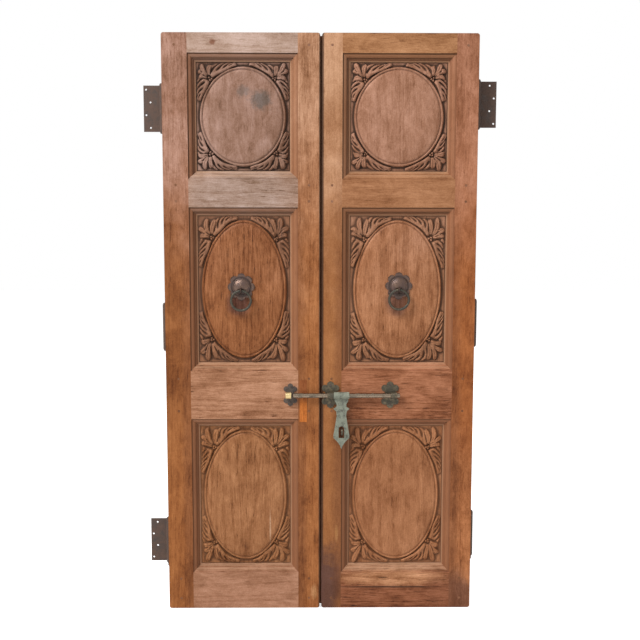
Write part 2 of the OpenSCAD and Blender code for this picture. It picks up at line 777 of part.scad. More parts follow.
// Petalled plate with a dome and the eye that carries a ring
module rosette(side) {
  plate_y = [field_y - lobe_plate, field_y];
  reach = rosette_radius - petal_radius;
  for (i = [0 : petals - 1])
    bar_y(rosette_x[side] + reach * sin(i * 360 / petals), rosette_z[side] + reach * cos(i * 360 / petals),
      plate_y, petal_radius);
  bar_y(rosette_x[side], rosette_z[side], plate_y, dome_radius + 2 * eye_bar);
  translate([rosette_x[side], field_y - lobe_plate, rosette_z[side]])
    rotate([90, 0, 0])
      rotate_extrude()
        translate([dome_radius, 0])
          circle(r = dome_bead);
  intersection() {
    translate([rosette_x[side], field_y - lobe_plate - dome_height + sphere_radius, rosette_z[side]])
      sphere(r = sphere_radius);
    bar_y(rosette_x[side], rosette_z[side], [field_y - lobe_plate - 2 * dome_height, field_y - overcut],
      2 * dome_radius);
  }
  difference() {
    translate([rosette_x[side], ring_y, rosette_z[side] - ring_drop])
      rotate([0, 90, 0])
        rotate_extrude()
          translate([eye_radius, 0])
            circle(r = eye_bar);
    bar_x([rosette_x[side] - eye_radius, rosette_x[side] + eye_radius], ring_y, rosette_z[side] - ring_drop,
      ring_bar + eye_play + eye_land);
  }
}

module ring(side) {
  translate([rosette_x[side], ring_y, rosette_z[side] - ring_drop - ring_radius])
    rotate([90, 0, 0])
      rotate_extrude()
        translate([ring_radius, 0])
          circle(r = ring_bar);
}

module left_hinge_stile() {
  color(wood)
    hinge_stile(0);
}

module left_meeting_stile() {
  color(wood)
    left_meeting();
}

module left_top_rail() {
  color(wood)
    rail(0, 3);
}

module left_second_rail() {
  color(wood)
    rail(0, 2);
}

module left_lock_rail() {
  color(wood)
    rail(0, 1);
}

module left_bottom_rail() {
  color(wood)
    rail(0, 0);
}

module left_upper_panel() {
  color(carved_wood)
    panel(0, 2);
}

module left_middle_panel() {
  color(carved_wood)
    panel(0, 1);
}

module left_lower_panel() {
  color(carved_wood)
    panel(0, 0);
}

module left_pegs() {
  color(wood)
    pegs(0);
}

module left_repair() {
  color(pale_wood)
    repair();
}

module right_hinge_stile() {
  color(wood)
    hinge_stile(1);
}

module right_meeting_stile() {
  color(wood)
    right_meeting();
}

module right_top_rail() {
  color(wood)
    rail(1, 3);
}

module right_second_rail() {
  color(wood)
    rail(1, 2);
}

module right_lock_rail() {
  color(wood)
    rail(1, 1);
}

module right_bottom_rail() {
  color(wood)
    rail(1, 0);
}

module right_upper_panel() {
  color(carved_wood)
    panel(1, 2);
}

module right_middle_panel() {
  color(carved_wood)
    panel(1, 1);
}

module right_lower_panel() {
  color(carved_wood)
    panel(1, 0);
}

module right_pegs() {
  color(wood)
    pegs(1);
}

module left_low_jamb_plate() {
  color(iron)
    jamb_plate(0, 0);
}

module left_mid_jamb_plate() {
  color(iron)
    jamb_plate(0, 1);
}

module left_high_jamb_plate() {
  color(iron)
    jamb_plate(0, 2);
}

module right_low_jamb_plate() {
  color(iron)
    jamb_plate(1, 0);
}

module right_mid_jamb_plate() {
  color(iron)
    jamb_plate(1, 1);
}

module right_high_jamb_plate() {
  color(iron)
    jamb_plate(1, 2);
}

module left_low_leaf_plate() {
  color(iron)
    leaf_plate(0, 0);
}

module left_mid_leaf_plate() {
  color(iron)
    leaf_plate(0, 1);
}

module left_high_leaf_plate() {
  color(iron)
    leaf_plate(0, 2);
}

module right_low_leaf_plate() {
  color(iron)
    leaf_plate(1, 0);
}

module right_mid_leaf_plate() {
  color(iron)
    leaf_plate(1, 1);
}

module right_high_leaf_plate() {
  color(iron)
    leaf_plate(1, 2);
}

module left_pins() {
  color(iron)
    pins(0);
}

module right_pins() {
  color(iron)
    pins(1);
}

module left_hinge_screws() {
  color(iron)
    hinge_screws(0, 0);
}

module right_hinge_screws() {
  color(iron)
    hinge_screws(1, 0);
}

module keeper_plate() {
  color(iron)
    keeper();
}

module keeper_tube() {
  color(brass)
    loop(keeper_tube_x, keeper_length);
}

module first_guide() {
  color(bronze)
    guide(guide_x, guide_x);
}

module end_guide() {
  color(bronze)
    guide(end_guide_x, end_loop_x);
}

module bolt_rod() {
  color(bronze)
    rod();
}

module hasp() {
  color(bronze)
    hasp_body();
}

module padlock_staple() {
  color(bronze)
    staple();
}

module left_plate_nails() {
  color(bronze)
    nails(0, 0);
}

module right_plate_nails() {
  color(bronze)
    nails(1, 0);
}

module left_rosette() {
  color(bronze)
    rosette(0);
}

module right_rosette() {
  color(bronze)
    rosette(1);
}

module left_ring() {
  color(bronze)
    ring(0);
}

module right_ring() {
  color(bronze)
    ring(1);
}

left_hinge_stile();
left_meeting_stile();
left_top_rail();
left_second_rail();
left_lock_rail();
left_bottom_rail();
left_upper_panel();
left_middle_panel();
left_lower_panel();
left_pegs();
left_repair();
right_hinge_stile();
right_meeting_stile();
right_top_rail();
right_second_rail();
right_lock_rail();
right_bottom_rail();
right_upper_panel();
right_middle_panel();
right_lower_panel();
right_pegs();
left_low_jamb_plate();
left_mid_jamb_plate();
left_high_jamb_plate();
right_low_jamb_plate();
right_mid_jamb_plate();
right_high_jamb_plate();
left_low_leaf_plate();
left_mid_leaf_plate();
left_high_leaf_plate();
right_low_leaf_plate();
right_mid_leaf_plate();
right_high_leaf_plate();
left_pins();
right_pins();
left_hinge_screws();
right_hinge_screws();
keeper_plate();
keeper_tube();
first_guide();
end_guide();
bolt_rod();
hasp();
padlock_staple();
left_plate_nails();
right_plate_nails();
left_rosette();
right_rosette();
left_ring();
right_ring();
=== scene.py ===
import math

import bpy
import numpy as np
from mathutils import Matrix, Vector


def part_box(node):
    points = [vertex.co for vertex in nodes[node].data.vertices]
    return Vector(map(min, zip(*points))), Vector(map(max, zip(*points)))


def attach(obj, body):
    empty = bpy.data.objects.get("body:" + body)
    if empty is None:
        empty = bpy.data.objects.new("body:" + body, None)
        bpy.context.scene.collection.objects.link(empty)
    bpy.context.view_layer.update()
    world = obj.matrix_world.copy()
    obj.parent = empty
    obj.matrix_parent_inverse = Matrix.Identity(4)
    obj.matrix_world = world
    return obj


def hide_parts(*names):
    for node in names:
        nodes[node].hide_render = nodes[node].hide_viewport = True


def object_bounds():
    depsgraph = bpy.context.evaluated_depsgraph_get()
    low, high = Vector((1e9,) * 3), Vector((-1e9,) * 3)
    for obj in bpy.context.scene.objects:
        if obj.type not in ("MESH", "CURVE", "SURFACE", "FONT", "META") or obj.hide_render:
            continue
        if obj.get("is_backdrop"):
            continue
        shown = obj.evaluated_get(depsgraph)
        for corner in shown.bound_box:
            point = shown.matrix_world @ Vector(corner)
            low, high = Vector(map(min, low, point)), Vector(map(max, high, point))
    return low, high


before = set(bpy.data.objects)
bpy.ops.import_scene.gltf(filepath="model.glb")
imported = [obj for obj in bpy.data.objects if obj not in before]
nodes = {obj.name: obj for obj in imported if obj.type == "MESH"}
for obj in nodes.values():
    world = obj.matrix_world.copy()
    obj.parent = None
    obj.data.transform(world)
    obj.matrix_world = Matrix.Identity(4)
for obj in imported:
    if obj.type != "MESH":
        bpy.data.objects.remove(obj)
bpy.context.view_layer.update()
print("frame loaded,", len(nodes), "solids")


class Wire:
    # one output socket; sums and products of wires add Math nodes beside it
    def __init__(self, wiring, socket):
        self.wiring, self.socket = wiring, socket

    def of(self, output):
        return Wire(self.wiring, self.socket.node.outputs[output])

    def maths(self, operation, first, second=0.0, clamped=False):
        settings = {"operation": operation, "use_clamp": clamped}
        return self.wiring.node("ShaderNodeMath", settings, {0: first, 1: second})

    def __add__(self, other):
        return self.maths("ADD", self, other)

    def __sub__(self, other):
        return self.maths("SUBTRACT", self, other)

    def __rsub__(self, other):
        return self.maths("SUBTRACT", other, self)

    def __mul__(self, other):
        return self.maths("MULTIPLY", self, other)

    def __truediv__(self, other):
        return self.maths("DIVIDE", self, other)

    def __pow__(self, other):
        return self.maths("POWER", self, other)

    def __abs__(self):
        return self.maths("ABSOLUTE", self)

    __radd__ = __add__
    __rmul__ = __mul__

    def most(self, other):
        return self.maths("MAXIMUM", self, other)

    def held(self):
        return self.maths("ADD", self, 0.0, True)

    def wave(self):
        return self.maths("SINE", self)


class Wiring:
    # the nodes of one material or of the surroundings
    def __init__(self, tree):
        self.tree = tree

    def fill(self, node, values):
        for key, value in values.items():
            if isinstance(value, Wire):
                self.tree.links.new(value.socket, node.inputs[key])
            elif isinstance(value, tuple) and node.inputs[key].type == "RGBA":
                node.inputs[key].default_value = value + (1.0,)
            else:
                node.inputs[key].default_value = value

    def node(self, kind, settings={}, values={}, output=0):
        node = self.tree.nodes.new(kind)
        for key, value in settings.items():
            if key == "stops":
                self.stops(node.color_ramp.elements, value)
            else:
                setattr(node, key, value)
        self.fill(node, values)
        return Wire(self, node.outputs[output])

    def stops(self, elements, stops):
        for place, grey in stops[2:]:
            elements.new(place)
        for element, (place, grey) in zip(elements, sorted(stops)):
            element.position, element.color = place, (grey, grey, grey, 1.0)

    def seenWhite(self):
        # 1 for what the camera, a mirror or glass sees
        rays = self.node("ShaderNodeLightPath", output="Is Camera Ray")
        return rays.most(rays.of("Is Glossy Ray")).most(rays.of("Is Transmission Ray"))


# A mark's rim in shares of its reach, and the depths between which marks give out behind the front
markLook = {"outside": 1.25, "inside": 0.45, "raggedScale": 1.3, "raggedNoise": (6.0, 0.7),
            "noneBehind": -0.012, "fullBefore": -0.018}


class Finish(Wiring):
    # one material with its nodes; x, y and z are the place on the door in metres
    def __init__(self, name):
        self.material = bpy.data.materials.new(name)
        self.material.use_nodes = True
        super().__init__(self.material.node_tree)
        self.shader = self.tree.nodes["Principled BSDF"]
        self.place = self.node("ShaderNodeTexCoord", output="Object")
        self.x = self.node("ShaderNodeSeparateXYZ", {}, {0: self.place}, "X")
        self.y, self.z = self.x.of("Y"), self.x.of("Z")

    def noise(self, vector, scale, detail, roughness, distortion=0.0):
        return self.node("ShaderNodeTexNoise", {}, {"Vector": vector, "Scale": scale, "Detail": detail,
                                                    "Roughness": roughness, "Distortion": distortion})

    def mapped(self, scale, shift):
        return self.node("ShaderNodeMapping", {}, {"Vector": self.place, "Location": shift, "Scale": scale})

    def attribute(self, name):
        return self.node("ShaderNodeAttribute", {"attribute_name": name}, output="Fac")

    def blend(self, share, first, second, mode="MIX"):
        settings = {"data_type": "RGBA", "blend_type": mode, "clamp_factor": True}
        return self.node("ShaderNodeMix", settings, {0: share, 6: first, 7: second}, 2)

    def smooth(self, start, end, value):
        return self.node("ShaderNodeMapRange", {"interpolation_type": "SMOOTHSTEP"},
                         {"Value": value, "From Min": start, "From Max": end})

    def patch(self, at, reach, ragged):
        # 1 inside an oval on the door's front, falling to 0 over a ragged rim
        look = markLook
        far = (((self.x - at[0]) / reach[0]) ** 2.0 + ((self.z - at[1]) / reach[1]) ** 2.0) ** 0.5
        edge = self.noise(self.place, look["raggedScale"] / min(reach), *look["raggedNoise"]) - 0.5
        inside = self.smooth(look["outside"], look["inside"], far + edge * (2.0 * ragged))
        return inside * self.smooth(look["noneBehind"], look["fullBefore"], self.y)

    def bump(self, height, strength, distance):
        return self.node("ShaderNodeBump", {}, {"Height": height, "Strength": strength, "Distance": distance})

    def coat(self, **values):
        self.fill(self.shader, {key.replace("_", " "): value for key, value in values.items()})
        return self.material


def dress(material, *names):
    # one finish on all faces of the named solids
    for name in names:
        for spot in nodes[name].material_slots:
            spot.material = material


def middleOf(name):
    low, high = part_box(name)
    return (low + high) / 2


# Wood: tones are linear colours. A noise is its scale, detail, roughness and distortion,
# and a range is where something starts to count and where it counts in full.
woodLook = {"figure": (7.0, 2.0, 0.45, 0.35), "fibre": (400.0, 4.0, 0.7), "cracks": (320.0, 3.0, 0.75, 0.2),
            "mottle": (22.0, 6.0, 0.72, 0.6), "cloud": (3.6, 5.0, 0.6, 0.4), "specks": (60.0, 3.0, 0.75),
            "grit": (240.0, 4.0, 0.75), "grain": 0.05, "mottleStretch": 0.5, "shiftWay": (1.0, 0.37, 0.61),
            "figureLines": 85.0, "lineRange": (0.1, 1.0), "crackRange": (0.60, 0.70),
            "speckRange": (0.70, 0.78), "fadeRange": (1.05, 1.95), "fadeRagged": 0.9,
            "redder": (0.9, 1.15, 1.45),
            "fibreShade": 1.1, "lineShade": 0.13, "crackShade": 0.5, "streakLift": 0.08,
            "mottleShade": 1.3, "cloudShade": 1.2, "gritShade": 0.9, "speckDirt": 0.45,
            "fibreRelief": 0.5, "lineRelief": 0.2, "crackRelief": 0.8, "mottleRelief": 0.8,
            "fibreMatt": 0.2, "mottleMatt": 0.24, "leastMatt": 0.36, "gloss": 0.18,
            "bumpStrength": 0.5, "bumpDepth": 0.0010,
            "dirtAndShade": (0.030, 0.014, 0.008), "wornAndHighlight": (0.50, 0.30, 0.18)}

# Carved wood: dust lies in the corners, painted highlight on what stands up, painted shade and dirt in what
# is hollow
carvedLook = {"dust": (0.33, 0.205, 0.14), "raisedRange": (0.3, 1.4), "raisedHighlight": 0.35,
              "hollowRange": (-0.05, 0.60), "leastShadeAndDirt": 0.55, "mottleShadeAndDirt": 0.9}

# Moulded wood: depth is a share of the moulding's; stops of painted shade and dirt follow its section from
# the face inwards
mouldedLook = {"face": -0.0435, "depth": 0.022, "tone": (0.30, 0.128, 0.062), "shadedToneShare": 0.7,
               "upRange": (0.15, 0.6), "startRange": (0.02, 0.1), "endRange": (1.3, 1.1), "upHighlight": 0.3,
               "sightStart": (0.80, 0.86), "sightEnd": (0.93, 0.90), "sightHighlight": 0.4, "sillBlur": 0.01,
               "sillUnshaded": 0.85, "leastShadeAndDirt": 0.45, "mottleShadeAndDirt": 1.1, "footDirt": 0.55,
               "riseRange": (0.9, 1.7),
               "stops": [(0.0, 0.0), (0.02, 0.0), (0.10, 0.5), (0.155, 1.0), (0.172, 0.9), (0.178, 0.1),
                         (0.30, 0.1), (0.50, 0.4), (0.555, 1.0), (0.586, 0.9), (0.594, 0.1), (0.62, 0.2),
                         (0.70, 1.0), (0.765, 0.9), (0.78, 0.1), (0.90, 0.1), (0.93, 1.0), (1.0, 0.6)]}


def stretched(along, share):
    # along the grain a place counts by this share of what it counts across
    return (1.0, 1.0, share) if along == "z" else (share, 1.0, 1.0)


def carvedDustShadeAndHighlight(f, tone, mottle, dusty):
    # dust by a place's share in the corner, painted highlight by how far it stands up, painted shade and dirt
    # by how hollow it is
    look = carvedLook
    hollow = f.attribute("hollow")
    tone = f.blend(f.attribute("corner") * dusty, tone, look["dust"])
    # painted highlight on what stands up
    tone = f.blend(f.smooth(*look["raisedRange"], 0.0 - hollow) * look["raisedHighlight"], tone, woodLook["wornAndHighlight"])
    # painted shade and dirt by how hollow it is
    return tone, f.smooth(*look["hollowRange"], hollow) * (look["leastShadeAndDirt"] + look["mottleShadeAndDirt"] * mottle)


def mouldedDirtShadeAndHighlight(f, tone, mottle, lined, sill):
    # by the depth into the moulding: a darker tone as painted shade where it doesn't face up, painted
    # highlight on what faces up and on the sight edge, painted shade and dirt in the hollows of the section,
    # more of it higher up and little on a sill
    look = mouldedLook
    depth = (f.y - look["face"]) / look["depth"]
    facing = f.node("ShaderNodeNewGeometry", output="Normal")
    upwards = f.smooth(*look["upRange"], f.node("ShaderNodeSeparateXYZ", {}, {0: facing}, "Z"))
    inside = f.smooth(*look["startRange"], depth) * f.smooth(*look["endRange"], depth)
    sight = f.smooth(*look["sightStart"], depth) * f.smooth(*look["sightEnd"], depth)
    onSill = 0.0
    if sill is not None:
        onSill = f.smooth(sill - look["sillBlur"], sill + look["sillBlur"], f.z)
    # a darker tone as painted shade on moulding faces that don't turn up, kept off a sill
    tone = f.blend(inside * (1.0 - upwards) * (1.0 - onSill) * look["shadedToneShare"], tone, look["tone"])
    # painted highlight on faces that turn up and along the sight edge
    wearAndHighlight = (upwards * inside * look["upHighlight"]).most(sight * look["sightHighlight"])
    tone = f.blend(wearAndHighlight, tone, woodLook["wornAndHighlight"])
    # painted shade and dirt in the moulding's hollows, off faces that turn up
    shadeAndGrime = f.node("ShaderNodeValToRGB", {"stops": look["stops"]}, {"Fac": depth})
    shadeAndGrime = shadeAndGrime * (look["leastShadeAndDirt"] + look["mottleShadeAndDirt"] * mottle) * (1.0 - upwards) * lined
    higher = f.smooth(*look["riseRange"], f.z)
    # less of the painted shade and dirt towards the foot
    shadeAndGrime = shadeAndGrime * (look["footDirt"] + (1.0 - look["footDirt"]) * higher)
    return tone, shadeAndGrime * (1.0 - onSill * look["sillUnshaded"])


def wood(name, along, low, high=None, shift=0.0, marks=(), carved=False, dirtAndShade=0.75, streak=1.0, patchy=1.2,
         lined=1.0, sill=None, dusty=0.0):
    # the tone fades from low at the foot to high at the head, or is low all over; over it come the marks,
    # then grain, mottle and grit summed to one shade that multiplies it, then painted highlight, painted
    # shade and dirt
    look = woodLook
    f = Finish(name)
    grain = f.mapped(stretched(along, look["grain"]), tuple(share * shift for share in look["shiftWay"]))
    lines = f.smooth(*look["lineRange"], (f.noise(grain, *look["figure"]) * look["figureLines"]).wave())
    fibre = f.noise(grain, *look["fibre"])
    cracks = f.smooth(*look["crackRange"], f.noise(grain, *look["cracks"]))
    blotches = f.mapped(stretched(along, look["mottleStretch"]), (shift, shift, shift))
    mottle = f.noise(blotches, *look["mottle"])
    cloud = f.noise(f.mapped((1.0, 1.0, 1.0), (shift, 0.0, 0.0)), *look["cloud"])
    specks = f.smooth(*look["speckRange"], f.noise(f.place, *look["specks"]))
    grit = f.noise(f.place, *look["grit"])
    fade = f.smooth(*look["fadeRange"], f.z + (cloud - 0.5) * look["fadeRagged"])
    tone = f.blend(fade, low, high or low)
    for spot in marks:
        tone = f.blend(f.patch(spot["at"], spot["reach"], spot["ragged"]) * spot["share"], tone, spot["tone"])
    streaks = (fibre - 0.5) * look["fibreShade"] - lines * look["lineShade"] - cracks * look["crackShade"]
    patches = (mottle - 0.5) * look["mottleShade"] + (cloud - 0.5) * look["cloudShade"]
    shade = (streaks + look["streakLift"]) * streak + patches * patchy
    shade = shade + (grit - 0.5) * look["gritShade"] + 1.0
    parts = {part: shade ** power for part, power in enumerate(look["redder"])}  # darker wood is redder
    tone = f.blend(1.0, tone, f.node("ShaderNodeCombineColor", {}, parts), "MULTIPLY")
    if carved:
        tone, shadeAndGrime = carvedDustShadeAndHighlight(f, tone, mottle, dusty)
    else:
        tone, shadeAndGrime = mouldedDirtShadeAndHighlight(f, tone, mottle, lined, sill)
    # painted shade and dirt from the hollows, and dirt specks, darken the tone
    tone = f.blend(shadeAndGrime.most(specks * look["speckDirt"]) * dirtAndShade, tone, look["dirtAndShade"])
    height = (fibre * look["fibreRelief"] - lines * look["lineRelief"] - cracks * look["crackRelief"]
              + mottle * look["mottleRelief"])
    matt = (fibre * look["fibreMatt"] + mottle * look["mottleMatt"] + look["leastMatt"]).held()
    return f.coat(Base_Color=tone, Roughness=matt, Specular_IOR_Level=look["gloss"],
                  Normal=f.bump(height, look["bumpStrength"], look["bumpDepth"]))


# tones of stains, with painted shade beside the stiles' mouldings and round the knocker rings, and a near
# black for painted shadow in the joint and round the staple, and for a crack
stainsAndShades = {"deep": (0.20, 0.066, 0.028), "plum": (0.11, 0.046, 0.036), "ash": (0.12, 0.097, 0.082),
          "nearBlack": (0.05, 0.022, 0.012), "footDirt": (0.115, 0.050, 0.034), "edgeShade": (0.165, 0.056, 0.022),
          "umber": (0.19, 0.060, 0.016), "greyed": (0.338, 0.219, 0.162), "lighter": (0.45, 0.170, 0.064),
          "scuff": (0.62, 0.32, 0.14), "scrape": (0.62, 0.30, 0.10), "scratch": (0.55, 0.33, 0.2),
          "paleSill": (0.44, 0.23, 0.125), "paleBand": (0.45, 0.20, 0.09)}


def mark(at, reach, share, tint, ragged=0.5):
    # an oval mark on the front, for stains and for painted shade and shadow: x and z of its middle, half its
    # width and height, its strength
    return {"at": at, "reach": reach, "share": share, "tone": stainsAndShades[tint], "ragged": ragged}


# Members of the two leaves: their grain, tones at the foot and at the head, and the marks of age, painted
# shade and painted shadow on them
# painted shadow in the gap between the two leaves, along each meeting stile
jointShadow = {"reach": (0.0075, 9.0), "share": 0.92, "tint": "nearBlack", "ragged": 0.15}
edgeShade = {"reach": (0.036, 1.15), "share": 0.5, "tint": "edgeShade"}
edgePlace = {"fromSight": 0.026, "height": 0.55}  # dark shade on a stile beside its moulding
jointShift = 0.0035  # the left leaf's painted joint shadow lies this far left of the right leaf's edge
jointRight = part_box("right_meeting_stile")[0].x
jointLeft = jointRight - jointShift
staple = middleOf("padlock_staple")
members = {
    "left_hinge_stile": {
        "along": "z", "low": (0.305, 0.103, 0.028), "high": (0.355, 0.185, 0.125),
        "shift": 1.7, "streak": 1.15, "patchy": 1.5,
        "marks": (mark((-0.550, 0.98), (0.10, 0.50), 0.55, "umber", 0.3),)},
    "left_meeting_stile": {
        "along": "z", "low": (0.335, 0.116, 0.034), "high": (0.44, 0.22, 0.12),
        "shift": 4.1, "streak": 1.2, "patchy": 1.4, "lined": 0.2,
        "marks": (mark((jointLeft, 1.0), **jointShadow),
                  mark((-0.020, 0.060), (0.013, 0.030), 0.6, "scuff"))},
    "left_top_rail": {
        "along": "x", "low": (0.43, 0.285, 0.215), "shift": 2.3, "patchy": 0.8,
        "marks": (mark((-0.372, 2.018), (0.012, 0.010), 0.8, "deep"),)},
    "left_second_rail": {
        "along": "x", "low": (0.36, 0.200, 0.128), "shift": 5.2, "streak": 1.4,
        "marks": (mark((-0.280, 1.495), (0.240, 0.150), 0.95, "greyed", 0.4),)},
    "left_lock_rail": {"along": "x", "low": (0.39, 0.180, 0.094), "shift": 3.1, "streak": 1.7},
    "left_bottom_rail": {
        "along": "x", "low": (0.365, 0.170, 0.093), "shift": 6.3, "streak": 1.2, "patchy": 1.4},
    "right_hinge_stile": {
        "along": "z", "low": (0.335, 0.104, 0.029), "high": (0.39, 0.165, 0.09),
        "shift": 7.9, "streak": 0.9, "patchy": 1.5, "lined": 0.2,
        "marks": (mark((0.505, 0.33), (0.10, 0.34), 0.75, "lighter", 0.3),
                  mark((0.500, 0.040), (0.085, 0.105), 0.7, "footDirt", 0.7))},
    "right_meeting_stile": {
        "along": "z", "low": (0.35, 0.133, 0.043), "high": (0.54, 0.285, 0.157),
        "shift": 9.4, "streak": 0.45, "patchy": 0.75,
        # painted shadow round the padlock staple in the hasp's slot
        "marks": (mark((staple.x, staple.z), (0.016, 0.030), 0.95, "nearBlack", 0.2),
                  mark((jointRight, 1.0), **jointShadow),
                  mark((0.022, 0.080), (0.066, 0.165), 0.95, "footDirt", 0.7),
                  mark((0.060, 0.281), (0.006, 0.034), 0.7, "scrape"))},
    "right_top_rail": {"along": "x", "low": (0.39, 0.177, 0.076), "shift": 8.3, "streak": 1.2},
    "right_second_rail": {"along": "x", "low": (0.343, 0.146, 0.063), "shift": 1.2},
    "right_lock_rail": {
        "along": "x", "low": (0.300, 0.108, 0.047), "shift": 2.9, "streak": 2.4, "patchy": 1.7},
    "right_bottom_rail": {
        "along": "x", "low": (0.25, 0.085, 0.036), "shift": 4.7, "streak": 2.4, "patchy": 1.7,
        "marks": (mark((0.25, 0.152), (0.28, 0.020), 0.6, "paleSill"),
                  mark((0.26, 0.112), (0.24, 0.032), 0.85, "paleBand"),
                  mark((0.27, 0.078), (0.25, 0.0035), 0.85, "nearBlack"),
                  mark((0.445, 0.060), (0.07, 0.07), 0.6, "deep"))},
}
for name, member in members.items():
    sill = None
    if member["along"] == "z":
        low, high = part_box(name)
        sightOnRight = name in ("left_hinge_stile", "right_meeting_stile")
        inner = high.x - edgePlace["fromSight"] if sightOnRight else low.x + edgePlace["fromSight"]
        member["marks"] += (mark((inner, edgePlace["height"]), **edgeShade),)
    else:
        sill = middleOf(name).z  # above it a rail carries a sill, below it a head
    dress(wood(name + "_wood", sill=sill, **member), name)
print("frame members dressed")

# Carved panels: lengths in metres, as in the solids, the leaves' turns in degrees, those of lobes and beads
# in radians, all else in shares. The section is the oval's height by its distance inwards from the rim.
carving = {"tongue": 0.009, "ground": -0.0214, "step": 0.0016, "sideMargin": 0.013, "headMargin": 0.016,
           "height": 0.014, "rimReach": 0.034, "bareEdge": 0.001, "keptEdge": 0.002, "softening": 0.6,
           "section": ((-0.02, 0), (0.05, 0.46), (0.09, 0.63), (0.14, 0.68), (0.19, 0.64), (0.24, 0.43),
                       (0.275, 0.38), (0.31, 0.43), (0.38, 0.65), (0.50, 0.75), (1.0, 0.88), (1.8, 1.0))}
leaf = {"height": 0.0130, "width": 0.042, "leastWidth": 0.003, "tipGap": 0.0025, "innerEdge": 0.005,
        "spineGap": 0.008, "spineBow": -0.002, "spineSteps": 80,
        "headTurns": (50.0, 79.0), "sideTurns": (40.0, 20.0),
        "fingerPitch": 0.0190, "leastFingers": 3, "fingerLean": 2.2, "leanBend": 1.3, "fingerStart": 0.15,
        "fingerLength": 0.30, "cutFrom": 0.14, "cutOver": 0.25, "cutDepth": 0.92, "cutRound": 1.1,
        "fingerEdge": 2.6, "ribEdge": 1.6, "curl": 0.16, "tipFall": 0.3, "endReach": 0.008,
        "warp": 0.0036, "warpWaves": (0.017, 0.023, 0.019, 0.021)}
lobes = {"turns": (-0.72, -0.26, 0.22, 0.70), "turnPlay": 0.09,
         "lengths": (0.9, 0.97, 0.97, 0.9), "leastLength": 0.92,
         "width": 0.0105, "widthAtFoot": 0.35, "leastWidth": 0.3, "leastLean": 0.05, "bend": 0.5,
         "middle": 0.58, "halfLength": 0.42, "round": 0.65, "veinDepth": 0.35, "veinWidth": 0.28,
         "overLeaf": 0.8, "leafLeft": 0.4}
bud = {"turns": (0.0, 2.1, -2.1), "reach": 0.0045, "radius": 0.0042, "height": 0.0115, "clear": 1.3}
ageingAndShade = {"wearAndHighlight": 0.0008, "wearCells": 2, "chips": 0.0045, "chipCells": 3, "blur": 0.0065,
          "hollowScale": 0.0030, "panelEdgeShade": 0.8, "edgeReach": 0.004, "ovalRim": 0.004, "ovalSpared": 0.55,
          "cornerDirt": 0.08}


def leafField(u, v, spine, left, right, fingersLeft, fingersRight):
    # height of a leaf on its spine: a plain rib on one side, and on the fingered side round fingers that lean
    # to the tip, as the sine of the place along the spine less a power of the place across, with cuts between
    spot = np.argmin((u[:, None] - spine[:, 0]) ** 2 + (v[:, None] - spine[:, 1]) ** 2, 1)
    way = np.gradient(spine, axis=0)
    length = float(np.hypot(way[:, 0], way[:, 1]).sum())
    way = way / np.hypot(way[:, :1], way[:, 1:])
    fromX, fromY = u - spine[spot, 0], v - spine[spot, 1]
    aside = fromY * way[spot, 0] - fromX * way[spot, 1]
    ahead = fromX * way[spot, 0] + fromY * way[spot, 1]
    out = np.abs(aside) / np.where(aside >= 0.0, left[spot], right[spot])
    share = spot / (len(spine) - 1)
    fingers = max(leaf["leastFingers"], round(length / leaf["fingerPitch"]))
    lean = leaf["fingerLean"] * out ** leaf["leanBend"]
    finger = np.abs(np.sin(np.pi * (share * fingers - lean + leaf["fingerStart"])))
    fingered = np.where(aside >= 0.0, fingersLeft, fingersRight)
    limit = np.where(fingered, 1.0 - leaf["fingerLength"] + leaf["fingerLength"] * finger ** 0.5, 1.0)
    deeper = np.clip((out - leaf["cutFrom"]) / leaf["cutOver"], 0.0, 1.0) * fingered
    cut = deeper * leaf["cutDepth"] * (1.0 - finger ** leaf["cutRound"])
    edge = np.sqrt(np.clip((limit - out) * np.where(fingered, leaf["fingerEdge"], leaf["ribEdge"]), 0.0, 1.0))
    curl = np.where(fingered, 1.0 - leaf["curl"] + leaf["curl"] * np.cos(2.0 * np.pi * out), 1.0)
    beyond = np.clip(1.0 - np.abs(ahead) / leaf["endReach"], 0.0, 1.0) ** 0.5
    height = leaf["height"] * edge * curl * (1.0 - cut) * (1.0 - leaf["tipFall"] * share)
    return np.where(out < limit, height, 0.0) * beyond


def turned(way, angle):
    # a direction turned by an angle, its two parts mixed by the angle's cosine and sine
    cos, sin = math.cos(angle), math.sin(angle)
    return np.array((way[0] * cos - way[1] * sin, way[0] * sin + way[1] * cos))


def lobeField(u, v, root, out, length, turn):
    # height of a lobe in the corner: a long dome, bent to one side, with a vein along its middle
    along = ((u - root[0]) * out[0] + (v - root[1]) * out[1]) / length
    width = lobes["width"] * np.clip(lobes["widthAtFoot"] + along, lobes["leastWidth"], 1.0)
    across = ((v - root[1]) * out[0] - (u - root[0]) * out[1]) / width
    bend = across + lobes["bend"] * np.sin(np.pi * along) * np.sign(turn)
    inside = 1.0 - ((along - lobes["middle"]) / lobes["halfLength"]) ** 4 - bend ** 2
    vein = lobes["veinDepth"] * np.exp(-(bend / lobes["veinWidth"]) ** 2)
    return leaf["height"] * np.clip(inside, 0.0, 1.0) ** lobes["round"] * (1.0 - vein)


